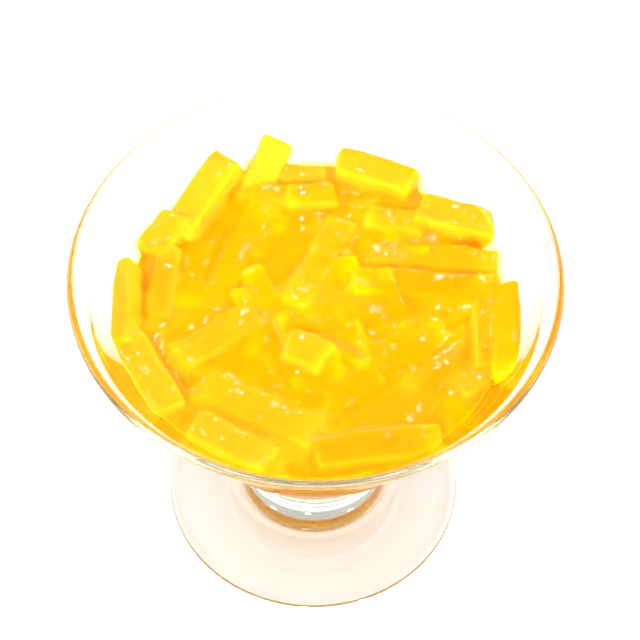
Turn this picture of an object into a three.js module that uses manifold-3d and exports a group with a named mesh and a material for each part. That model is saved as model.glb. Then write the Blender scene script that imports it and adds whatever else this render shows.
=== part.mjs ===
// A footed dessert glass filled with cut strips of yellow jelly in clear syrup.
// Millimetres, +Z up. The origin is the middle of the foot's underside.
import * as THREE from 'three';
import { mergeVertices } from 'three/addons/utils/BufferGeometryUtils.js';
import Module from 'manifold-3d';

const wasm = await Module();
wasm.setup();

// ---- driving dimensions ----
const rimDiameter = 110;
const totalHeight = 91;
const footDiameter = 72.5;
const footEdge = 3; // thickness of the foot at its rim
const waistRadius = 17.6; // narrowest part of the solid stem
// the stem from the foot's top up to the bowl: radius beyond the waist, and height
const stemLine = [
  [13.65, 3.3],
  [6, 4.3],
  [2.1, 6.2],
  [0.3, 9.5],
  [0, 13.5],
  [0.5, 19],
  [2.2, 26],
  [5.8, 34],
];
const stemSteps = 12;
const lipRadius = 1.1; // rounding of the bowl's lip
const innerSlope = 0.607; // widening of the inner wall for each mm of height
const outerSlope = 0.515; // the outer wall is steeper, so the glass thickens downwards
const flankFoot = 45; // height at which the straight outer flank starts
const shoulderDrop = 3.6; // the outer flank ends this far under the lip's middle
const shoulderInset = 1.4; // and this far inside it
const bowlFloor = 31; // lowest point inside the bowl
const floorSteps = 5;
const syrupLevel = 74.3;
const syrupJacket = 2.6; // syrup between the heaped jelly and the glass
const coreDrop = 1.2; // how far the heap's core stays under the syrup at its edge
const heapCrown = 2.7; // how far the middle of the heap's core stands over the syrup
const crownPower = 8; // how suddenly the crown falls at its edge
const touchGap = 0.3; // kept between pieces that touch
const roundSteps = 44; // a multiple of 4, so that the box is centred on the axis
const stripSoft = 1.3; // softened corners of a strip
const endShare = 0.6; // how much of that the strip's ends are drawn in
const stripTaper = 0.1; // narrowing towards the far end
const stripBow = 1.6; // sideways bow of a strip's ends
const bowMiddle = 0.1; // share of the bow given back in the middle
const endSlant = 0.12; // slant of the cut ends
const weldDistance = 1e-3;

// ---- worked out from them ----
const rimRadius = rimDiameter / 2;
const footRadius = footDiameter / 2;
const lipHeight = totalHeight - lipRadius;
const flankAngle = Math.atan(innerSlope); // from the vertical
const flankTurn = THREE.MathUtils.radToDeg(flankAngle);
const lipInside = rimRadius - lipRadius * (1 + 1 / Math.cos(flankAngle)); // the wall meets the lip smoothly
const coneTip = lipHeight - lipInside / innerSlope; // where the inner flank would meet the axis
const floorRadius = ((bowlFloor - coneTip) * Math.sin(flankAngle)) / (1 - Math.sin(flankAngle));
const floorCentre = bowlFloor + floorRadius;

// Radius of the inner wall at a height on its straight flank, less a distance kept to the glass.
function innerWall(z, inset = 0) {
  return innerSlope * (z - coneTip) - inset / Math.cos(flankAngle);
}

// Points on an arc in the radius-height plane, angles in degrees.
function arc(r, z, radius, from, to, steps) {
  return Array.from({ length: steps + 1 }, (_, i) => {
    const a = THREE.MathUtils.degToRad(from + ((to - from) * i) / steps);
    return new THREE.Vector2(r + radius * Math.cos(a), z + radius * Math.sin(a));
  });
}

// The bowl's inside from the axis up its flank: a round floor, then the straight wall.
function bowlInside(inset, top) {
  const floor = arc(0, floorCentre, floorRadius - inset, -90, -flankTurn, floorSteps);
  floor[0].x = 0;
  return [...floor, new THREE.Vector2(innerWall(top, inset), top)];
}

// Turns a profile that starts and ends on the axis into a closed body.
function spin(profile) {
  return new THREE.LatheGeometry(profile, roundSteps).rotateX(Math.PI / 2);
}

// ---- from three.js geometry to a solid and back ----
function toSolid(geometry) {
  const bare = geometry.clone();
  bare.deleteAttribute('normal');
  bare.deleteAttribute('uv');
  const merged = mergeVertices(bare, weldDistance);
  return new wasm.Manifold(
    new wasm.Mesh({
      numProp: 3,
      vertProperties: new Float32Array(merged.attributes.position.array),
      triVerts: new Uint32Array(merged.index.array),
    }),
  );
}

function toGeometry(solid) {
  const mesh = solid.getMesh();
  const geometry = new THREE.BufferGeometry();
  geometry.setAttribute('position', new THREE.BufferAttribute(mesh.vertProperties, 3));
  geometry.setIndex(new THREE.BufferAttribute(mesh.triVerts, 1));
  geometry.computeVertexNormals();
  return geometry;
}

// ---- the glass: foot, solid stem and cone-shaped bowl in one piece ----
function footedGlass() {
  const edge = footEdge / 2;
  const foot = [
    new THREE.Vector2(0, 0),
    ...arc(footRadius - edge, edge, edge, -90, 45, 3),
  ];
  const shoulder = lipHeight - shoulderDrop;
  const outerTop = new THREE.Vector2(rimRadius - lipRadius - shoulderInset, shoulder);
  const outerLow = new THREE.Vector2(outerTop.x - outerSlope * (shoulder - flankFoot), flankFoot);
  const stem = new THREE.SplineCurve([
    ...stemLine.map(([out, height]) => new THREE.Vector2(waistRadius + out, height)),
    outerLow,
  ]).getPoints(stemSteps);
  const outerLip = arc(rimRadius - lipRadius, lipHeight, lipRadius, -45, 90, 3);
  const innerLip = arc(rimRadius - lipRadius, lipHeight, lipRadius, 90, 180 - flankTurn, 2).slice(1);
  const lipFoot = lipHeight + lipRadius * Math.sin(flankAngle);
  const inside = bowlInside(0, lipFoot).reverse().slice(1);
  return spin([...foot, ...stem, outerTop, ...outerLip, ...innerLip, ...inside]);
}

// ---- the jelly: cut strips heaped in the syrup ----
// A strip lies along +X before it is turned. Its corners are softened, its far end is a little
// narrower, and grow widens it all round by the gap that the syrup keeps to it.
function strip({ length, width, thickness }, grow) {
  const soft = stripSoft;
  const halfWidth = width / 2 + grow;
  const halfHeight = thickness / 2 + grow;
  const section = new THREE.Shape([
    new THREE.Vector2(-halfWidth + soft, -halfHeight),
    new THREE.Vector2(halfWidth - soft, -halfHeight),
    new THREE.Vector2(halfWidth, -halfHeight + soft),
    new THREE.Vector2(halfWidth, halfHeight - soft),
    new THREE.Vector2(halfWidth - soft, halfHeight),
    new THREE.Vector2(-halfWidth + soft, halfHeight),
    new THREE.Vector2(-halfWidth, halfHeight - soft),
    new THREE.Vector2(-halfWidth, -halfHeight + soft),
  ]);
  const depth = length + 2 * grow - 2 * soft;
  const body = new THREE.ExtrudeGeometry(section, {
    depth,
    bevelSize: soft * endShare,
    bevelOffset: -soft * endShare,
    bevelThickness: soft,
    bevelSegments: 1,
  });
  body.translate(0, 0, -depth / 2).rotateX(Math.PI / 2).rotateZ(Math.PI / 2);
  const place = body.attributes.position;
  for (let i = 0; i < place.count; i += 1) {
    const along = place.getX(i) / length; // -0.5 to 0.5
    const taper = 1 - stripTaper * (along + 0.5);
    place.setY(i, place.getY(i) * taper + stripBow * (along * along - bowMiddle));
    place.setX(i, place.getX(i) + endSlant * place.getY(i));
  }
  return body;
}

// Where the strips lie: x and y from the axis, rise of the middle over the syrup, length, width,
// thickness, heading round +Z, tilt that lifts the far end, and roll about the strip, in degrees.
const strips = [
  [-26, 32, 4, 23, 10, 8, 57, 12, 0],
  [-12, 41, 3.2, 16, 9, 8, 62, 30, 25],
  [13.5, 38.5, 3.4, 19, 11, 8, -20, 0, 8],
  [32, 26, 2, 19, 10, 8, -15, 2, 0],
  [19, 25, 1, 13, 8, 7, -11, 0, 0],
  [24, 15.5, 1, 30, 7.5, 6, -3, 0, 0],
  [25, 7, 0.8, 31, 9.5, 7, -4, 0, 0],
  [43.8, -5, 2.4, 27, 10, 9, -91, 2, 24],
  [-42.5, -0.5, 2.2, 23, 9.5, 9, -88, 0, 34],
  [-35.5, 19, 1.8, 12, 10, 8, 60, 6, 0],
  [-36, -19.5, 1.8, 25, 11.5, 8, -60, 0, 0],
  [-20.5, -7.5, 1.7, 22, 10.5, 6, 37, 0, 0],
  [-28, -1, 0.6, 19, 6.5, 5, 20, 0, 0],
  [-12, -27, 0.8, 28, 9.5, 7, -26, 0, 0],
  [-20.5, -34, 0.4, 20, 9.5, 8, -29, 0, 0],
  [12, -36, 0.4, 28, 10, 8, 9, 0, 0],
  [15, -17, 0.8, 33, 9.5, 7, 38, 0, 0],
  [22, -7, 0.4, 31, 8.5, 7, 38, 0, 0],
  [38.2, -6, 1.4, 26, 8, 7, 88, 0, 0],
  [-2.8, -12, 1.6, 10, 9.5, 8, -25, 0, 0],
  [-18, 15, 0.8, 29, 9.5, 7, 70, 0, 0],
  [-8, 13, 0.4, 25, 8.5, 7, 57, 0, 0],
  [1, 13, 1, 27, 9.5, 7, 65, 0, 0],
  [-11, 33, 0.6, 19, 8, 7, -10, 0, 0],
  [0.5, 32, 1.4, 11, 9, 7, 5, 0, 0],
  [-4, 39, 0.4, 13, 7, 6, -4, 0, 0],
  [15, -28, -0.4, 26, 8.5, 7, 17, 0, 0],
  [4, 5, -0.2, 10, 6.5, 6, 85, 0, 0],
  [11, 5, 0, 10, 7.5, 6, 70, 0, 0],
  [17, -1, -0.4, 23, 10, 7, 18, 0, 0],
  [26, -13, 0.4, 14, 9.5, 7, 40, 0, 0],
  [20, -24, 0, 8, 7, 6, -40, 0, 0],
  [35.5, -18, 0.6, 15, 6.5, 6, 42, 0, 0],
  [-9, -1, -0.4, 18, 8.5, 6, -35, 0, 0],
  [0, -4, -0.4, 16, 8.5, 6, 10, 0, 0],
  [8, -11, -0.4, 16, 7, 6, 80, 0, 0],
  [-16, -17, -0.2, 18, 9.5, 6, -8, 0, 0],
  [1, -22, -0.2, 15, 9.5, 6, 30, 0, 0],
  [-35, 4, 0.8, 20, 7, 7, 86, 0, 0],
  [-28, 10, 0, 19, 8.5, 7, 84, 0, 0],
  [10, 21, 0, 16, 9, 6, 78, 0, 0],
];

function placedStrip([x, y, rise, length, width, thickness, heading, tilt, roll], grow) {
  const turn = new THREE.Euler(
    THREE.MathUtils.degToRad(roll),
    THREE.MathUtils.degToRad(-tilt),
    THREE.MathUtils.degToRad(heading),
    'ZYX',
  );
  const place = new THREE.Matrix4().makeRotationFromEuler(turn).setPosition(x, y, syrupLevel + rise);
  return toSolid(strip({ length, width, thickness }, grow).applyMatrix4(place));
}

// The mass of strips under the top layer: it fills the bowl to within the syrup jacket, and its
// top is crowned in the middle and falls to just over the syrup at its edge.
function heapCore(grow) {
  const edgeHeight = syrupLevel - coreDrop;
  const side = bowlInside(syrupJacket - grow, edgeHeight);
  const edgeRadius = side[side.length - 1].x;
  const crown = [0.97, 0.91, 0.8, 0.5, 0].map((part) => {
    const rise = (heapCrown + coreDrop) * (1 - part ** crownPower);
    return new THREE.Vector2(part * edgeRadius, edgeHeight + rise + grow);
  });
  return toSolid(spin([...side, ...crown]));
}

function heap(grow) {
  return strips.reduce((sum, one) => sum.add(placedStrip(one, grow)), heapCore(grow));
}

// The space inside the bowl up to a height, clear of the glass by the gap.
function bowlRoom(top) {
  return toSolid(spin([...bowlInside(touchGap, top), new THREE.Vector2(0, top)]));
}

// ---- the syrup: up to its level, cut round the heap that stands in it ----
function syrup() {
  const around = bowlRoom(syrupLevel).subtract(heap(touchGap));
  // drops shut in between two strips are left out
  return around.decompose().reduce((most, one) => (one.volume() > most.volume() ? one : most));
}

// ---- the scene graph ----
const glassFinish = new THREE.MeshStandardMaterial({
  color: 0xf2faf8,
  roughness: 0.04,
  metalness: 0,
  transparent: true,
  opacity: 0.3,
});
const jellyFinish = new THREE.MeshStandardMaterial({ color: 0xffd400, roughness: 0.16, metalness: 0 });
const syrupFinish = new THREE.MeshStandardMaterial({ color: 0xffc21a, roughness: 0.08, metalness: 0 });

function piece(name, geometry, material) {
  const mesh = new THREE.Mesh(geometry, material);
  mesh.name = name;
  return mesh;
}

const dessert = new THREE.Group();
dessert.add(
  piece('footed_glass', footedGlass(), glassFinish),
  piece('jelly_heap', toGeometry(heap(0).intersect(bowlRoom(lipHeight))), jellyFinish),
  piece('syrup', toGeometry(syrup()), syrupFinish),
);

export default dessert;
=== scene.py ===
# Cut strips of yellow jelly in clear syrup, in a footed dessert glass. Metres, +Z up.
import math
import random

import bpy
import numpy as np
from mathutils import Matrix, Vector
from mathutils.bvhtree import BVHTree


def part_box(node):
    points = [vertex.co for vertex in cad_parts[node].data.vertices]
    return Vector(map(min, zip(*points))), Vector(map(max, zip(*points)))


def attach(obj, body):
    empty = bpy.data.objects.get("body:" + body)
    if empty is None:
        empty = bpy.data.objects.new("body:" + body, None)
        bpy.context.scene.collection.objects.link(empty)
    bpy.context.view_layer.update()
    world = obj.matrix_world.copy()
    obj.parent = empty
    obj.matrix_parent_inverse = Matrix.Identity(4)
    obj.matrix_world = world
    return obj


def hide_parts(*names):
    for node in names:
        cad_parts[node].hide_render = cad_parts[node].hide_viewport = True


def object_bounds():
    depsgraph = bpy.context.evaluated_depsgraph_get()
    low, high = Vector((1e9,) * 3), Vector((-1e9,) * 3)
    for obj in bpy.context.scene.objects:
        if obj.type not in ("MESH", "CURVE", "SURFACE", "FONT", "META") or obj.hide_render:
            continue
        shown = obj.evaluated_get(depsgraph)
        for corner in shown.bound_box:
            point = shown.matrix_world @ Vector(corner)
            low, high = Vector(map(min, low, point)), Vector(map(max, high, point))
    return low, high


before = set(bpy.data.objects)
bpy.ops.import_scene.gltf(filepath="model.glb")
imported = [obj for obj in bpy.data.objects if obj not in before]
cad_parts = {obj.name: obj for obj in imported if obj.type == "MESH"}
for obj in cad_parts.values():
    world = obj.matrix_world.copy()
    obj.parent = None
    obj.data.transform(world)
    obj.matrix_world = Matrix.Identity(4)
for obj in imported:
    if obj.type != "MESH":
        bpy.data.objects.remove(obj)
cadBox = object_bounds()
mm = 0.001


# the camera
cameraSetting = {
    "pitch": 55.05,  # degrees down from level
    "roll": 0.86,
    "distance": 522.8 * mm,
    "aim": (1.1 * mm, 12.6 * mm),  # right of and behind the axis
    "aimHeight": 0.598,  # of the glass's height
    "lens": 123.75,
    "sensor": 36,
}


def addCamera(setting):
    height = cadBox[1][2] - cadBox[0][2]
    aim = Vector((*setting["aim"], setting["aimHeight"] * height))
    turn = Matrix.Rotation(math.radians(90 - setting["pitch"]), 3, "X")
    roll = Matrix.Rotation(math.radians(setting["roll"]), 3, "Z")
    data = bpy.data.cameras.new("camera")
    data.lens = setting["lens"]
    data.sensor_width = setting["sensor"]
    data.clip_start = 0.01
    data.clip_end = 20
    camera = bpy.data.objects.new("camera", data)
    bpy.context.scene.collection.objects.link(camera)
    camera.matrix_world = Matrix.Translation(aim) @ (turn @ roll).to_4x4() @ Matrix.Translation(
        (0, 0, setting["distance"]))
    bpy.context.scene.camera = camera


addCamera(cameraSetting)
print("camera placed")


# helpers for modelling
def deselectAll():
    if bpy.context.mode != "OBJECT":
        bpy.ops.object.mode_set(mode="OBJECT")
    bpy.ops.object.select_all(action="DESELECT")


def activate(*pieces):
    deselectAll()
    for piece in pieces:
        piece.select_set(True)
    bpy.context.view_layer.objects.active = pieces[0]


def applyModifier(piece, kind, **values):
    activate(piece)
    modifier = piece.modifiers.new(kind.lower(), kind)
    for key, value in values.items():
        setattr(modifier, key, value)
    bpy.ops.object.modifier_apply(modifier=modifier.name)


def arc(x, z, radius, start, end, steps):
    angles = [math.radians(start + (end - start) * i / steps) for i in range(steps + 1)]
    return [(x + radius * math.cos(a), z + radius * math.sin(a)) for a in angles]


def smoothLine(points, steps):
    # a Catmull-Rom curve through the points, steps to each span
    ends = [points[0]] + list(points) + [points[-1]]
    line = []
    for a, b, c, d in zip(ends, ends[1:], ends[2:], ends[3:]):
        for i in range(steps):
            t = i / steps
            line.append(tuple(
                0.5 * (2 * q + (r - p) * t
                       + (2 * p - 5 * q + 4 * r - s) * t * t
                       + (3 * q - p - 3 * r + s) * t ** 3)
                for p, q, r, s in zip(a, b, c, d)))
    return line + [tuple(points[-1])]


def spinProfile(name, profile, steps):
    # one point is extruded along the profile, and the line is spun round the axis
    deselectAll()
    bpy.ops.mesh.primitive_plane_add(size=mm)
    piece = bpy.context.object
    piece.name = name
    bpy.ops.object.mode_set(mode="EDIT")
    bpy.ops.mesh.select_mode(type="VERT")
    bpy.ops.mesh.select_all(action="SELECT")
    bpy.ops.mesh.merge(type="CENTER")
    bpy.ops.transform.translate(value=(profile[0][0], 0, profile[0][1]))
    for before, after in zip(profile, profile[1:]):
        move = (after[0] - before[0], 0, after[1] - before[1])
        bpy.ops.mesh.extrude_region_move(TRANSFORM_OT_translate={"value": move})
    bpy.ops.mesh.select_all(action="SELECT")
    bpy.ops.mesh.spin(steps=steps, angle=2 * math.pi, center=(0, 0, 0), axis=(0, 0, 1))
    bpy.ops.mesh.select_all(action="SELECT")
    bpy.ops.mesh.remove_doubles(threshold=0.002 * mm)
    bpy.ops.mesh.normals_make_consistent(inside=False)
    bpy.ops.object.mode_set(mode="OBJECT")
    bpy.ops.object.shade_smooth()
    return piece


# shader maths
class Signal:
    # a node's output socket that sums and products can be written with
    def __init__(self, tree, socket):
        self.tree = tree
        self.socket = socket

    def worked(self, operation, first, second):
        node = self.tree.nodes.new("ShaderNodeMath")
        node.operation = operation
        for place, value in enumerate((first, second)):
            if isinstance(value, Signal):
                self.tree.links.new(value.socket, node.inputs[place])
            else:
                node.inputs[place].default_value = value
        return Signal(self.tree, node.outputs[0])

    def __add__(self, other):
        return self.worked("ADD", self, other)

    def __radd__(self, other):
        return self.worked("ADD", other, self)

    def __sub__(self, other):
        return self.worked("SUBTRACT", self, other)

    def __rsub__(self, other):
        return self.worked("SUBTRACT", other, self)

    def __mul__(self, other):
        return self.worked("MULTIPLY", self, other)

    def __rmul__(self, other):
        return self.worked("MULTIPLY", other, self)


class Finish:
    # a material whose nodes are all made by one method
    def __init__(self, name):
        self.material = bpy.data.materials.new(name)
        self.material.use_nodes = True
        self.tree = self.material.node_tree
        self.tree.nodes.clear()

    def node(self, kind, settings=None, values=None, output=0):
        node = self.tree.nodes.new("ShaderNode" + kind)
        for key, value in (settings or {}).items():
            if key == "stops":
                ramp = node.color_ramp
                while len(ramp.elements) < len(value):
                    ramp.elements.new(0.5)
                for element, (position, colour) in zip(ramp.elements, value):
                    element.position = position
                    element.color = colour
            else:
                setattr(node, key, value)
        for key, value in (values or {}).items():
            if isinstance(value, Signal):
                self.tree.links.new(value.socket, node.inputs[key])
            else:
                node.inputs[key].default_value = value
        return Signal(self.tree, node.outputs[output])

    def done(self, surface, volume=None):
        values = {"Surface": surface}
        if volume:
            values["Volume"] = volume
        node = self.tree.nodes.new("ShaderNodeOutputMaterial")
        for key, value in values.items():
            self.tree.links.new(value.socket, node.inputs[key])
        return self.material

    def place(self):
        return self.node("TexCoord", output=3)


# the glass
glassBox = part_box("footed_glass")
glassShape = {
    "rimRadius": glassBox[1][0],
    "height": glassBox[1][2],
    "footRadius": 36.25 * mm,
    "footEdge": 3 * mm,
    "footRise": 0.3 * mm,  # how far the foot's top climbs before it curves up to the stem
    "waistRadius": 17.6 * mm,
    # the stem's outline: how far out from the waist, and the height, in mm
    "stem": [(6, 4.3), (2.1, 6.2), (0.3, 9.5), (0, 13.5), (0.5, 19), (2.2, 26), (5.8, 34)],
    "bowlLow": 45 * mm,  # where the straight outer wall starts
    "shoulder": 3.6 * mm,  # the wall flares out this far under the lip
    "flare": 1.4 * mm,
    "lipRadius": 1.1 * mm,
    "innerSlope": 0.607,
    "outerSlope": 0.515,
    "bowlFloor": 31 * mm,
    "turns": 160,
    "wallRows": 30,
}
lipHeight = glassShape["height"] - glassShape["lipRadius"]
flankAngle = math.atan(glassShape["innerSlope"])
lipInside = glassShape["rimRadius"] - glassShape["lipRadius"] * (1 + 1 / math.cos(flankAngle))
coneTip = lipHeight - lipInside / glassShape["innerSlope"]
floorRadius = (glassShape["bowlFloor"] - coneTip) * math.sin(flankAngle) / (1 - math.sin(flankAngle))
floorCentre = glassShape["bowlFloor"] + floorRadius


def innerWall(z, inset=0):
    return glassShape["innerSlope"] * (z - coneTip) - inset / math.cos(flankAngle)


def bowlInside(inset, top, steps=16, rows=1):
    floor = arc(0, floorCentre, floorRadius - inset, -90, -math.degrees(flankAngle), steps)
    floor[0] = (0, floor[0][1])
    low = floor[-1]
    high = (innerWall(top, inset), top)
    wall = [tuple(a + (b - a) * (i + 1) / rows for a, b in zip(low, high)) for i in range(rows)]
    return floor + wall


def makeGlass(shape):
    edge = shape["footEdge"] / 2
    lip = shape["lipRadius"]
    foot = [(0, 0), (shape["footRadius"] - 4 * mm, 0)]
    foot += arc(shape["footRadius"] - edge, edge, edge, -90, 60, 10)
    shoulder = lipHeight - shape["shoulder"]
    outerTop = (shape["rimRadius"] - lip - shape["flare"], shoulder)
    outerLow = (outerTop[0] - shape["outerSlope"] * (shoulder - shape["bowlLow"]), shape["bowlLow"])
    rows = shape["wallRows"]
    outside = [tuple(a + (b - a) * (i + 1) / rows for a, b in zip(outerLow, outerTop))
               for i in range(rows - 2)]
    rim = arc(shape["rimRadius"] - lip, lipHeight, lip, -40, 180 - math.degrees(flankAngle), 14)
    flare = smoothLine([outside[-1], outerTop, rim[0]], 6)[1:-1]
    stemFoot = (shape["footRadius"] - 5 * mm, shape["footEdge"] + shape["footRise"])
    stem = [(shape["waistRadius"] + out * mm, height * mm) for out, height in shape["stem"]]
    stem = smoothLine([stemFoot, *stem, outerLow], 8)
    inside = bowlInside(0, lipHeight + lip * math.sin(flankAngle), 24, rows)[::-1][1:]
    profile = foot + stem + outside + flare + rim + inside
    return spinProfile("glass", profile, shape["turns"])


glass = makeGlass(glassShape)
print("glass spun:", len(glass.data.vertices), "points")


glassColours = {
    "grazingShade": (0.62, 0.6, 0.52, 1),  # painted shade: the glass is a little greyer where it is seen at a grazing angle, for the dark lines along its edges
    "depth": (0.88, 0.91, 0.87, 1),
    "density": 40.0,  # per metre
}


def clearGlass(colours):
    finish = Finish("clear glass")
    # painted shade: the colour greys towards grazing angles
    facing = finish.node("LayerWeight", values={"Blend": 0.5}, output=1)
    grazingShade = facing * facing
    colour = finish.node("Mix", {"data_type": "RGBA"}, {
        0: grazingShade * grazingShade, 6: (1, 1, 1, 1), 7: colours["grazingShade"]}, output=2)
    surface = finish.node("BsdfPrincipled", values={
        "Base Color": colour,
        "Roughness": 0.0,
        "IOR": 1.5,
        "Transmission Weight": 1.0,
    })
    tint = finish.node("VolumeAbsorption", values={
        "Color": colours["depth"], "Density": colours["density"]})
    return finish.done(surface, tint)


glass.data.materials.append(clearGlass(glassColours))


# the jelly: cut strips, set in one wet mass
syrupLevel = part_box("syrup")[1][2]
stripShape = {
    "soft": 0.8 * mm,  # rounding of the cut edges
    "slant": 1.3 * mm,  # how far a corner of an end is out of square
    "narrow": 0.78,  # the narrowest that an end comes out
    "bend": 10,
    "twist": 8,
    "cuts": 3,
    "seed": 7,
}
# how every strip sags and what the knife leaves on it
stripSurface = {
    "sag": 1.3 * mm,
    "sagSize": 7 * mm,
    "marks": 0.2 * mm,
    "marksSize": 1.8 * mm,
}
# x and y from the axis, rise of the middle over the syrup, length, width, thickness in mm,
# heading round +Z, tilt that lifts the far end, and roll about the strip, in degrees,
# and how pale it is, partly painted backlight and sheen and partly its frosted surface
topStrips = [
    (-26, 32, 4, 23, 10, 8, 57, 12, 0, 0.5),
    (-12, 41, 3.2, 16, 9, 8, 62, 30, 25, 0.8),
    (13.5, 38.5, 3.4, 19, 11, 8, -20, 0, 8, 0.45),
    (32, 26, 2, 19, 10, 8, -15, 2, 0, 0.4),
    (19, 25, 1, 13, 8, 7, -11, 0, 0, 0.2),
    (24, 15.5, 1, 30, 7.5, 6, -3, 0, 0, 0.1),
    (25, 7, 0.8, 31, 9.5, 7, -4, 0, 0, 0),
    (43.8, -5, 2.4, 27, 10, 9, -91, 2, 24, 0),
    (-42.5, -0.5, 2.2, 23, 9.5, 9, -88, 0, 34, 0.35),
    (-35.5, 19, 1.8, 12, 10, 8, 60, 6, 0, 0.4),
    (-36, -19.5, 1.8, 25, 11.5, 8, -60, 0, 0, 0.5),
    (-20.5, -7.5, 1.7, 22, 10.5, 6, 37, 0, 0, 0.25),
    (-28, -1, 0.6, 19, 6.5, 5, 20, 0, 0, 0.15),
    (-12, -27, 0.8, 28, 9.5, 7, -26, 0, 0, 0.25),
    (-20.5, -34, 0.4, 20, 9.5, 8, -29, 0, 0, 0.45),
    (12, -36, 0.4, 28, 10, 8, 9, 0, 0, 0.1),
    (15, -17, 0.8, 33, 9.5, 7, 38, 0, 0, 0),
    (22, -7, 0.4, 31, 8.5, 7, 38, 0, 0, 0),
    (38.2, -6, 1.4, 26, 8, 7, 88, 0, 0, 0.1),
    (-2.8, -12, 1.6, 10, 9.5, 8, -25, 0, 0, 0.25),
    (-18, 15, 0.8, 29, 9.5, 7, 70, 0, 0, 0),
    (-8, 13, 0.4, 25, 8.5, 7, 57, 0, 0, 0),
    (1, 13, 1, 27, 9.5, 7, 65, 0, 0, 0.1),
    (-11, 33, 0.6, 19, 8, 7, -10, 0, 0, 0.2),
    (0.5, 32, 1.4, 11, 9, 7, 5, 0, 0, 0.15),
    (-4, 39, 0.4, 13, 7, 6, -4, 0, 0, 0.6),
    (15, -28, -0.4, 26, 8.5, 7, 17, 0, 0, 0.1),
    (4, 5, -0.2, 10, 6.5, 6, 85, 0, 0, 0.1),
    (11, 5, 0, 10, 7.5, 6, 70, 0, 0, 0.2),
    (17, -1, -0.4, 23, 10, 7, 18, 0, 0, 0),
    (26, -13, 0.4, 14, 9.5, 7, 40, 0, 0, 0.25),
    (20, -24, 0, 8, 7, 6, -40, 0, 0, 0.3),
    (35.5, -18, 0.6, 15, 6.5, 6, 42, 0, 0, 0.3),
    (-9, -1, -0.4, 18, 8.5, 6, -35, 0, 0, 0.1),
    (0, -4, -0.4, 16, 8.5, 6, 10, 0, 0, 0.1),
    (8, -11, -0.4, 16, 7, 6, 80, 0, 0, 0),
    (-16, -17, -0.2, 18, 9.5, 6, -8, 0, 0, 0),
    (1, -22, -0.2, 15, 9.5, 6, 30, 0, 0, 0),
    (-35, 4, 0.8, 20, 7, 7, 86, 0, 0, 0.2),
    (-28, 10, 0, 19, 8.5, 7, 84, 0, 0, 0),
    (10, 21, 0, 16, 9, 6, 78, 0, 0, 0),
]


def selectEnd(piece, test):
    # in edit mode: exactly the points whose place passes the test
    bpy.ops.object.mode_set(mode="OBJECT")
    for point in piece.data.vertices:
        point.select = test(point.co)
    bpy.ops.object.mode_set(mode="EDIT")


tintShape = {
    "edge": 0.2,  # the share of a half width over which a cut edge grows lighter, a painted highlight
    "end": 0.12,  # the same for an end
    "endShare": 0.8,
}


def paintTint(piece, size, shade, pale, shape):
    # red holds the strip's own shade, drawn at random, green is a painted highlight that grows towards its
    # cut edges and ends, blue is how pale it is, partly painted backlight and sheen and partly frosted
    # surface
    colours = []
    for point in piece.data.vertices:
        near = sorted(min(1, 2 * abs(c) / s) for c, s in zip(point.co, size))
        edge = max(0, (near[1] - (1 - shape["edge"])) / shape["edge"])
        end = max(0, (2 * abs(point.co.x) / size[0] - (1 - shape["end"])) / shape["end"])
        colours += [shade, min(1, max(edge, shape["endShare"] * min(1, end))), pale, 1]
    tint = piece.data.color_attributes.new("tint", "FLOAT_COLOR", "POINT")
    tint.data.foreach_set("color", colours)


def makeStrip(name, row, shape, draw):
    x, y, z, length, width, thickness, heading, tilt, roll, pale = row
    deselectAll()
    bpy.ops.mesh.primitive_cube_add(size=1)
    piece = bpy.context.object
    piece.name = name
    bpy.ops.object.mode_set(mode="EDIT")
    bpy.ops.mesh.select_mode(type="VERT")
    bpy.ops.mesh.select_all(action="SELECT")
    bpy.ops.mesh.subdivide(number_cuts=shape["cuts"])
    bpy.ops.transform.resize(value=(length, width, thickness))
    # the knife leaves the ends a little narrower and aslant
    for end in (-1, 1):
        selectEnd(piece, lambda co: co.x * end > 0.49 * length)
        bpy.ops.transform.resize(value=(1, draw.uniform(shape["narrow"], 1), draw.uniform(0.82, 1)))
        for axis, reach in (("y", width), ("z", thickness)):
            selectEnd(piece, lambda co: co.x * end > 0.4 * length and getattr(co, axis) > 0.3 * reach)
            bpy.ops.transform.translate(value=(draw.uniform(-1, 1) * shape["slant"], 0, 0))
    bpy.ops.mesh.select_mode(type="EDGE")
    bpy.ops.mesh.select_all(action="DESELECT")
    bpy.ops.mesh.edges_select_sharp(sharpness=math.radians(50))
    soft = shape["soft"] * draw.uniform(0.7, 1.15)
    bpy.ops.mesh.bevel(offset=soft, segments=2, profile=0.5, affect="EDGES")
    bpy.ops.mesh.select_all(action="SELECT")
    bpy.ops.mesh.normals_make_consistent(inside=False)
    bpy.ops.object.mode_set(mode="OBJECT")
    paintTint(piece, (length, width, thickness), draw.random(), pale, tintShape)
    applyModifier(piece, "SIMPLE_DEFORM", deform_method="BEND", deform_axis="Z",
                  angle=math.radians(draw.uniform(-1, 1) * shape["bend"]))
    applyModifier(piece, "SIMPLE_DEFORM", deform_method="TWIST", deform_axis="X",
                  angle=math.radians(draw.uniform(-1, 1) * shape["twist"]))
    turn = Matrix.Rotation(math.radians(heading), 4, "Z")
    turn = turn @ Matrix.Rotation(math.radians(-tilt), 4, "Y") @ Matrix.Rotation(math.radians(roll), 4, "X")
    piece.matrix_world = Matrix.Translation((x, y, z)) @ turn
    bpy.ops.object.transform_apply(location=True, rotation=True, scale=True)
    return piece


def joined(name, pieces):
    activate(*pieces)
    bpy.ops.object.join()
    piece = bpy.context.object
    piece.name = name
    return piece


def unevenTexture(name, size, depth):
    texture = bpy.data.textures.new(name, "CLOUDS")
    texture.noise_scale = size
    texture.noise_depth = depth
    return texture


def makeRoom(name, reach):
    # the space inside the bowl, reaching a little into its wall
    top = glassShape["height"]
    return spinProfile(name, bowlInside(-reach, top, 20, 6) + [(0, top)], 128)


def pressInto(room, piece):
    applyModifier(piece, "SHRINKWRAP", target=room, wrap_method="NEAREST_SURFACEPOINT", wrap_mode="INSIDE")


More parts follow.
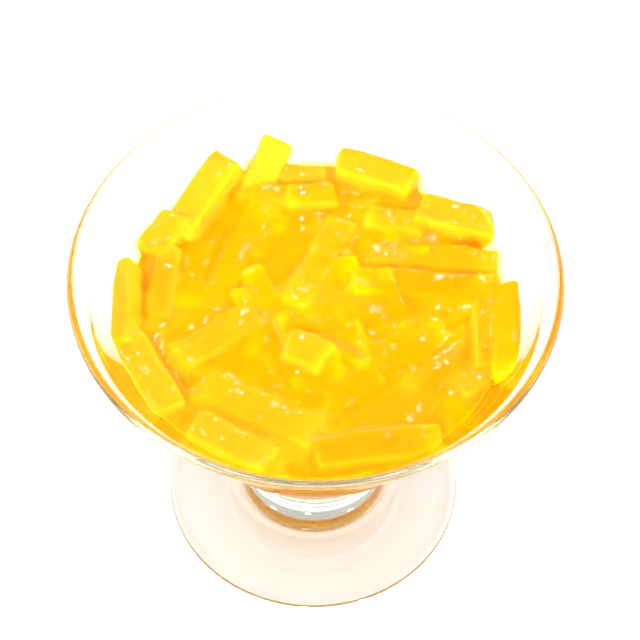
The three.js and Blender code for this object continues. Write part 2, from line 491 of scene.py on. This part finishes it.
def displace(piece, name, size, depth, strength, group=""):
    applyModifier(piece, "DISPLACE", texture=unevenTexture(name, size, depth), texture_coords="LOCAL",
                  strength=strength, mid_level=0.5, vertex_group=group)


def finishStrips(name, pieces, surface, levels):
    piece = joined(name, pieces)
    if levels:
        applyModifier(piece, "SUBSURF", levels=levels, render_levels=levels)
    displace(piece, "sag", surface["sagSize"], 1, surface["sag"])
    displace(piece, "cutMarks", surface["marksSize"], 2, surface["marks"])
    activate(piece)
    bpy.ops.object.shade_smooth()
    return piece


def makeTopStrips(rows, shape):
    draw = random.Random(shape["seed"])
    pieces = []
    for number, (x, y, rise, length, width, thickness, *rest) in enumerate(rows):
        place = [v * mm for v in (x, y)] + [syrupLevel + rise * mm]
        size = [v * mm for v in (length, width, thickness)]
        row = (*place, *size, *rest)
        pieces.append(makeStrip("strip%02d" % number, row, shape, draw))
    return finishStrips("top_strips", pieces, stripSurface, 1)


jellyStrips = makeTopStrips(topStrips, stripShape)
print("top strips cut:", len(jellyStrips.data.polygons), "faces")

# strips and chips just under the top ones, which close the gaps between them
underShape = {
    "count": 90,
    "reach": 38.5 * mm,
    "rise": -2.6 * mm,
    "dome": 3.2 * mm,  # how much higher they lie in the middle
    # shortest and longest, and so on, in mm
    "lengths": (6, 24),
    "widths": (5, 9),
    "depths": (5, 7),
    "strewn": 75,  # degrees that they turn off the ring in the middle
    "soft": 0.8 * mm,
    "slant": 2 * mm,
    "narrow": 0.45,
    "bend": 12,
    "twist": 12,
    "cuts": 2,
    "seed": 11,
}


def makeUnderStrips(shape):
    draw = random.Random(shape["seed"])
    pieces = []
    for number in range(shape["count"]):
        part = math.sqrt((number + 0.5) / shape["count"])
        angle = number * math.radians(137.5)
        rise = shape["rise"] + shape["dome"] * (1 - part ** 5) + draw.uniform(-0.7, 0.7) * mm
        out = shape["reach"] * part
        place = (out * math.cos(angle), out * math.sin(angle), syrupLevel + rise)
        size = [draw.uniform(*shape[side]) * mm for side in ("lengths", "widths", "depths")]
        size[0] *= 1 - 0.3 * part
        turned = draw.uniform(-shape["strewn"], shape["strewn"])
        heading = math.degrees(angle) + 90 + turned * (1 - 0.85 * part ** 3)
        tilt = draw.uniform(-8, 8)
        roll = draw.uniform(-25, 25) * (1 - 0.6 * part)
        row = (*place, *size, heading, tilt, roll, 0)
        pieces.append(makeStrip("under%02d" % number, row, shape, draw))
    return finishStrips("under_strips", pieces, stripSurface, 1)


underStrips = makeUnderStrips(underShape)
print("under strips cut:", len(underStrips.data.polygons), "faces")

# strips sunk in the syrup that lie against the wall of the bowl
sunkShape = {
    "rings": 7,
    "lowest": 36 * mm,
    "highest": 68 * mm,
    "spacing": 9.5 * mm,
    "under": 5 * mm,  # how far their upper ends stay under the syrup's level
    "lengths": (10, 26),
    "widths": (6, 9),
    "depths": (6, 8),
    "soft": 0.9 * mm,
    "slant": 2 * mm,
    "narrow": 0.6,
    "bend": 10,
    "twist": 8,
    "cuts": 3,
    "seed": 23,
}


def makeSunkStrips(shape):
    draw = random.Random(shape["seed"])
    pieces = []
    for ring in range(shape["rings"]):
        height = shape["lowest"] + (shape["highest"] - shape["lowest"]) * ring / (shape["rings"] - 1)
        radius = innerWall(height) - 4 * mm
        count = max(3, int(2 * math.pi * radius / shape["spacing"]))
        for number in range(count):
            angle = 2 * math.pi * (number + draw.uniform(-0.3, 0.3)) / count + ring
            z = height + draw.uniform(-2, 2) * mm
            r = innerWall(z) - draw.uniform(2, 4.2) * mm
            size = [draw.uniform(*shape[side]) * mm for side in ("lengths", "widths", "depths")]
            heading = math.degrees(angle) + 90 + draw.uniform(-20, 20)
            steepest = math.asin(min(0.8, max(0, (syrupLevel - shape["under"] - z) * 2 / size[0])))
            tilt = draw.uniform(-1, 1) * math.degrees(steepest)
            place = (r * math.cos(angle), r * math.sin(angle), z)
            row = (*place, *size, heading, tilt, draw.uniform(-20, 20), 0)
            pieces.append(makeStrip("sunk%d_%02d" % (ring, number), row, shape, draw))
    return finishStrips("sunk_strips", pieces, stripSurface, 0)


sunkStrips = makeSunkStrips(sunkShape)
print("sunk strips cut:", len(sunkStrips.data.polygons), "faces")

massShape = {
    "crown": 3.1 * mm,  # how far the syrup between the strips stands in the middle
    "meniscus": 0.7 * mm,
    "wall": 0.2 * mm,  # how far it reaches into the glass
    "lumps": 0.7 * mm,
    "lumpSize": 6 * mm,
    "flatness": 11,  # the power that keeps the dome flat out to its edge
    "voxel": 0.54 * mm,
    "rounds": 2,
    "ripple": 0.28 * mm,  # fine unevenness of the wet surface
    "rippleSize": 2.2 * mm,
    "blend": 2,  # rounds of softening of the strips' tints
}


def makeBed(shape):
    # the syrup that fills the bowl, up to a low dome that meets the glass
    edge = innerWall(syrupLevel)
    profile = bowlInside(-shape["wall"], syrupLevel - 1 * mm, 24, 16)
    profile.append((edge + 0.6 * mm, syrupLevel + shape["meniscus"]))
    profile.append((edge - 0.5 * mm, syrupLevel + shape["meniscus"] * 0.3))
    for part in (0.98, 0.96, 0.93, 0.9, 0.86, 0.8, 0.7, 0.55, 0.4, 0.2, 0):
        rise = shape["crown"] * (1 - part ** shape["flatness"])
        profile.append((edge * part, syrupLevel - 0.2 * mm + rise))
    bed = spinProfile("bed", profile, 160)
    group = bed.vertex_groups.new(name="top")
    group.add([point.index for point in bed.data.vertices if point.co.z > syrupLevel], 1, "REPLACE")
    displace(bed, "lumps", shape["lumpSize"], 1, shape["lumps"], "top")
    return bed


def softenTint(piece, rounds):
    # each point takes the mean of its own tint and its neighbours'
    mesh = piece.data
    ends = np.empty(2 * len(mesh.edges), np.int32)
    mesh.edges.foreach_get("vertices", ends)
    ends = np.concatenate([ends.reshape(-1, 2), ends.reshape(-1, 2)[:, ::-1]])
    tint = np.empty(4 * len(mesh.vertices), np.float32)
    layer = mesh.color_attributes["tint"].data
    layer.foreach_get("color", tint)
    tint = tint.reshape(-1, 4)
    for _ in range(rounds):
        total = tint.copy()
        np.add.at(total, ends[:, 0], tint[ends[:, 1]])
        tint = total / (1 + np.bincount(ends[:, 0], minlength=len(tint)))[:, None]
    layer.foreach_set("color", tint.astype(np.float32).ravel())


def makeMass(shape):
    room = makeRoom("room", shape["wall"])
    pressInto(room, sunkStrips)
    strips = joined("strips", [jellyStrips, underStrips, sunkStrips])
    bpy.ops.object.duplicate()
    copies = bpy.context.object
    mass = joined("jelly_strips", [copies, makeBed(shape)])
    applyModifier(mass, "REMESH", mode="VOXEL", voxel_size=shape["voxel"], use_smooth_shade=True)
    applyModifier(mass, "SMOOTH", factor=0.5, iterations=shape["rounds"])
    displace(mass, "ripple", shape["rippleSize"], 1, shape["ripple"])
    pressInto(room, mass)
    bpy.data.objects.remove(room)
    if "tint" not in mass.data.color_attributes:
        mass.data.color_attributes.new("tint", "FLOAT_COLOR", "POINT")
    # the remesh loses the tints, so they come back from the loose strips
    applyModifier(mass, "DATA_TRANSFER", object=strips, use_vert_data=True,
                  data_types_verts={"COLOR_VERTEX"}, vert_mapping="POLYINTERP_NEAREST")
    bpy.data.objects.remove(strips)
    softenTint(mass, shape["blend"])
    return mass


jellyMass = makeMass(massShape)
print("strips set in one wet mass:", len(jellyMass.data.polygons), "faces")

# the syrup that creeps up the wall of the bowl round the strips
filmShape = {
    "below": 2.5 * mm,
    "above": 3.5 * mm,
    "reach": 0.1 * mm,
    "thick": 0.25 * mm,
    "rows": 18,
    "fade": 1.8 * mm,  # how far from the jelly it still shows
    "stain": (1, 0.9, 0.4, 1),
    "turns": 240,
}


def makeFilm(shape):
    rows = shape["rows"]
    low = syrupLevel - shape["below"]
    heights = [low + (shape["below"] + shape["above"]) * i / rows for i in range(rows + 1)]
    outer = [(innerWall(z, -shape["reach"]), z) for z in heights]
    inner = [(innerWall(z, shape["thick"] * math.sqrt(1 - i / rows)), z) for i, z in enumerate(heights)]
    film = spinProfile("syrup_film", outer + inner[::-1] + outer[:1], shape["turns"])
    field = BVHTree.FromObject(jellyMass, bpy.context.evaluated_depsgraph_get())
    near = []
    for point in film.data.vertices:
        distance = field.find_nearest(point.co)[3]
        near += [max(0, 1 - distance / shape["fade"])] * 3 + [1]
    tint = film.data.color_attributes.new("near", "FLOAT_COLOR", "POINT")
    tint.data.foreach_set("color", near)
    return film


syrup = makeFilm(filmShape)
print("syrup on the wall:", len(syrup.data.polygons), "faces")


# finishes of the jelly and the syrup
jellySetting = {
    "light": (1.0, 0.425, 0.0, 1),
    "deep": (1.0, 0.34, 0.0, 1),
    # edge is a painted highlight along the cut edges and ends; pale is partly painted light shining through
    # and off some pieces, partly their frosted surface
    "edge": (1.0, 0.55, 0.0, 1),
    "edgeHighlightShare": 0.9,
    "pale": (1.0, 0.56, 0.02, 1),
    "depth": 3.5 * mm,  # how far light wanders in the jelly
    "roughness": 0.07,
    "frost": 0.12,  # how much rougher the pale pieces are
    "gloss": 0.1,
    "rough": 0.4,  # strength of the fine unevenness
}


def jellyFinish(name, setting):
    finish = Finish(name)
    place = finish.place()
    tint = finish.node("Attribute", {"attribute_name": "tint"})
    shade, edge, pale = [finish.node("SeparateColor", values={0: tint}, output=i) for i in range(3)]
    cloud = finish.node("TexNoise", values={"Vector": place, "Scale": 90, "Detail": 3})
    wander = shade * 0.55 + cloud * 0.45
    colour = finish.node("Mix", {"data_type": "RGBA"}, {
        0: wander, 6: setting["deep"], 7: setting["light"]}, output=2)
    grain = finish.node("TexNoise", values={"Vector": place, "Scale": 400, "Detail": 3})
    # painted highlight: the cut edges and ends are mixed towards the lighter edge colour
    shine = edge * grain * (2 * setting["edgeHighlightShare"])
    colour = finish.node("Mix", {"data_type": "RGBA"}, {0: shine, 6: colour, 7: setting["edge"]}, output=2)
    # painted light: the pale pieces are mixed towards the pale colour, as if lit through and off their
    # faces; the same mask makes them rougher, as frosted
    frost = pale * (0.4 + cloud * 0.6 + grain * 0.6)
    colour = finish.node("Mix", {"data_type": "RGBA"}, {0: frost, 6: colour, 7: setting["pale"]}, output=2)
    pits = finish.node("TexNoise", values={"Vector": place, "Scale": 900, "Detail": 4, "Roughness": 0.6})
    waves = finish.node("TexNoise", values={"Vector": place, "Scale": 220, "Detail": 2})
    normal = finish.node("Bump", values={
        "Height": pits * 0.2 + waves, "Strength": setting["rough"], "Distance": 0.4 * mm})
    return finish.done(finish.node("BsdfPrincipled", values={
        "Base Color": colour,
        "Roughness": setting["roughness"] + frost * setting["frost"],
        "IOR": 1.35,
        "Specular IOR Level": setting["gloss"],
        "Subsurface Weight": 1.0,
        "Subsurface Radius": (1.0, 0.7, 0.2),
        "Subsurface Scale": setting["depth"],
        "Normal": normal,
    }))


def filmFinish(name, colour):
    # clear but for a yellow stain where it is close to the jelly
    finish = Finish(name)
    near = finish.node("Attribute", {"attribute_name": "near"}, output=2)
    clear = finish.node("BsdfTransparent", values={"Color": (1, 1, 1, 1)})
    stain = finish.node("BsdfTransparent", values={"Color": colour})
    return finish.done(finish.node("MixShader", values={0: near, 1: clear, 2: stain}))


jellyMass.data.materials.clear()
jellyMass.data.materials.append(jellyFinish("jelly", jellySetting))
syrup.data.materials.append(filmFinish("clear syrup", filmShape["stain"]))

# what each piece is
for piece in (glass, jellyMass, syrup):
    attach(piece, "root")
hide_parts("footed_glass")
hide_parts("jelly_heap")
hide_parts("syrup")


# floor, light and air
def addFloor():
    deselectAll()
    bpy.ops.mesh.primitive_plane_add(size=6)
    floor = bpy.context.object
    floor.name = "floor"
    floor.location.z = -0.2 * mm
    finish = Finish("white table")
    floor.data.materials.append(finish.done(finish.node("BsdfPrincipled", values={
        "Base Color": (0.9, 0.9, 0.9, 1),
        "Roughness": 0.8,
        "Specular IOR Level": 0.1,
    })))


def addLight(name, place, aim, size, power):
    data = bpy.data.lights.new(name, "AREA")
    data.shape = "DISK"
    data.size = size
    data.energy = power
    light = bpy.data.objects.new(name, data)
    bpy.context.scene.collection.objects.link(light)
    light.location = place
    light.rotation_euler = (Vector(aim) - Vector(place)).to_track_quat("-Z", "Y").to_euler()
    return light


addFloor()
lightSetting = {
    "middle": (0, 0, 0.06),
    # place, size and power
    "spots": [
        ((-0.35, 0.5, 0.9), 0.06, 0.35),
        ((0.35, 0.45, 0.9), 0.06, 0.25),
        ((0.05, 0.95, 0.8), 0.06, 0.25),
        ((-0.7, 0.5, 0.7), 0.06, 0.25),
    ],
    "front": ((-0.4, -0.8, 0.7), 0.12, 2.2),
    "glints": [(-0.3, 0.5, 0.9), (0.3, 0.42, 0.9), (0.05, 0.85, 0.85), (-0.6, 0.4, 0.8)],
    "glintSize": 0.01,
    "glintPower": 1.4,
}


def addLights(setting):
    middle = setting["middle"]
    jellyOnly = bpy.data.collections.new("jellyOnly")
    jellyOnly.objects.link(jellyMass)
    for number, (place, size, power) in enumerate(setting["spots"]):
        spot = addLight("spot%d" % number, place, middle, size, power)
        spot.visible_glossy = False
    # the front light passes through the glass and lights the foot
    place, size, power = setting["front"]
    front = addLight("front", place, middle, size, power)
    front.visible_glossy = False
    front.light_linking.blocker_collection = jellyOnly
    # small lights that only show as glints on the jelly
    for number, place in enumerate(setting["glints"]):
        glint = addLight("glint%d" % number, place, middle, setting["glintSize"], setting["glintPower"])
        glint.visible_diffuse = False
        glint.visible_transmission = False
        glint.light_linking.receiver_collection = jellyOnly


addLights(lightSetting)


def addSky(setting):
    # a light tent: bright round the sides and brightest in front, dimmer overhead
    world = bpy.data.worlds.new("studio")
    world.use_nodes = True
    tree = world.node_tree
    place = tree.nodes.new("ShaderNodeTexCoord")
    parts = tree.nodes.new("ShaderNodeSeparateXYZ")
    ramp = tree.nodes.new("ShaderNodeMapRange")
    ramp.interpolation_type = "SMOOTHSTEP"
    ramp.inputs["From Min"].default_value = setting["sideTop"]
    ramp.inputs["From Max"].default_value = setting["roofFrom"]
    ramp.inputs["To Min"].default_value = setting["sides"]
    ramp.inputs["To Max"].default_value = setting["roof"]
    tree.links.new(place.outputs["Generated"], parts.inputs[0])
    tree.links.new(parts.outputs["Z"], ramp.inputs["Value"])
    strength = Signal(tree, ramp.outputs[0]) * (1 - Signal(tree, parts.outputs["Y"]) * setting["front"])
    tree.nodes["Background"].inputs["Color"].default_value = setting["colour"]
    tree.links.new(strength.socket, tree.nodes["Background"].inputs["Strength"])
    bpy.context.scene.world = world


skySetting = {
    "colour": (1, 0.96, 0.9, 1),
    "sides": 2.2,
    "roof": 0.4,
    "sideTop": 0.35,  # height on the unit sphere
    "roofFrom": 0.6,
    "front": 0.4,  # how much brighter in front than at the sides
}
addSky(skySetting)
print("floor, lights and air placed")

scene = bpy.context.scene
scene.view_settings.view_transform = "Standard"
scene.view_settings.look = "None"
scene.view_settings.exposure = 1.0
scene.view_settings.gamma = 1
scene.cycles.max_bounces = 24
scene.cycles.diffuse_bounces = 10
scene.cycles.glossy_bounces = 16
scene.cycles.transmission_bounces = 18
scene.cycles.transparent_max_bounces = 16
scene.cycles.sample_clamp_indirect = 6
